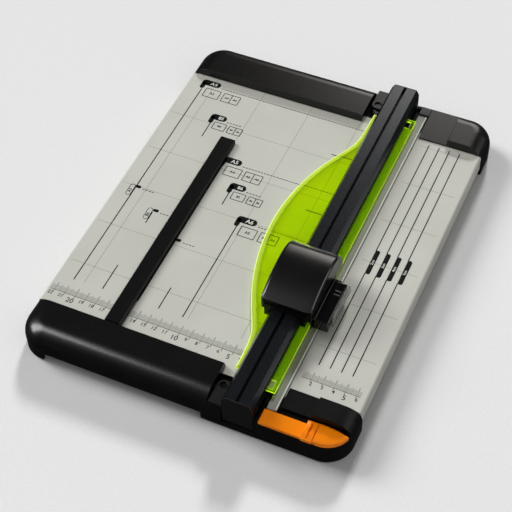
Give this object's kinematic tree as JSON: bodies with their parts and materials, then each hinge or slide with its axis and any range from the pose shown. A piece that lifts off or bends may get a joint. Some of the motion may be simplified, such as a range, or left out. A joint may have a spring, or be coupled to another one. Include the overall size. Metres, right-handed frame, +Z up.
{
  "type": "paper trimmer",
  "caption": "Flat rotary paper trimmer: printed deck between end housings, sprung rail with a clear clamp plate and sliding cutting head, mat latch and magnetic stop bar.",
  "frame": {"origin": "middle of the footprint, on the table under the feet", "axes": "+X to the right across the deck, +Y from the front housing to the rear one, +Z up"},
  "size_m": [0.3, 0.394, 0.0615],
  "materials": {
    "deck_paint": "satin light grey coat with dark printed lines",
    "black_plastic": "fine-grained moulded black",
    "rail_metal": "dark anodised extrusion",
    "rail_cap": "moulded black",
    "lime_clear": "clear lime",
    "head_plastic": "satin moulded black",
    "gloss_black": "polished black",
    "smoke_clear": "clear smoke grey",
    "mat_plastic": "satin grey",
    "orange_plastic": "moulded orange",
    "steel": "plain",
    "zinc": "zinc plated",
    "rubber": "matte",
    "glide_plastic": "ivory low-friction strip"
  },
  "bodies": {
    "base": {"deck": "deck_paint", "front_tray": "black_plastic", "rear_tray": "black_plastic", "front_cover": "black_plastic", "rear_cover": "black_plastic", "front_cap": "black_plastic", "rear_cap": "black_plastic", "cut_beam": "zinc", "mat": "mat_plastic", "mat_stop": "black_plastic", "guide_posts": "steel", "rail_springs": "steel", "feet": "rubber", "deck_screws": "zinc", "cover_screws": "zinc"},
    "rail": {"rail": "rail_metal", "front_end_cap": "rail_cap", "rear_end_cap": "rail_cap", "clamp_plate": "lime_clear", "clamp_screws": "zinc", "end_cap_screws": "zinc"},
    "carriage": {"carriage": "black_plastic", "glide_strips": "glide_plastic", "press_pins": "steel", "press_spring": "steel"},
    "press": {"handle_cover": "head_plastic", "blade_housing": "gloss_black", "blade_guard": "smoke_clear", "blade_axle": "steel", "axle_clip": "steel", "housing_screws": "zinc"},
    "blade": {"blade": "steel", "blade_hub": "black_plastic"},
    "latch": {"mat_latch": "orange_plastic", "latch_keeper": "zinc"},
    "stop": {"stop_bar": "black_plastic", "stop_magnets": "zinc"}
  },
  "joints": [
    {"name": "rail_press", "type": "slide", "parent": "base", "child": "rail", "axis": [0, 0, 1], "range_m": [-0.0014, 0], "stiffness_N_per_m": 2000, "springref_m": 0.006, "deforming": ["rail_springs"]},
    {"name": "head_slide", "type": "slide", "parent": "rail", "child": "carriage", "axis": [0, 1, 0], "range_m": [-0.096, 0.218]},
    {"name": "blade_press", "type": "slide", "parent": "carriage", "child": "press", "axis": [0, 0, 1], "range_m": [-0.0018, 0], "stiffness_N_per_m": 1500, "springref_m": 0.003, "deforming": ["press_spring"]},
    {"name": "blade_spin", "type": "hinge", "parent": "press", "child": "blade", "pos_m": [0.079, -0.063, 0.0423], "axis": [1, 0, 0], "continuous": true},
    {"name": "latch_slide", "type": "slide", "parent": "base", "child": "latch", "axis": [1, 0, 0], "range_m": [0, 0.0115]},
    {"name": "stop_slide", "type": "slide", "parent": "base", "child": "stop", "axis": [1, 0, 0], "range_m": [-0.06, 0.068]}
  ]
}
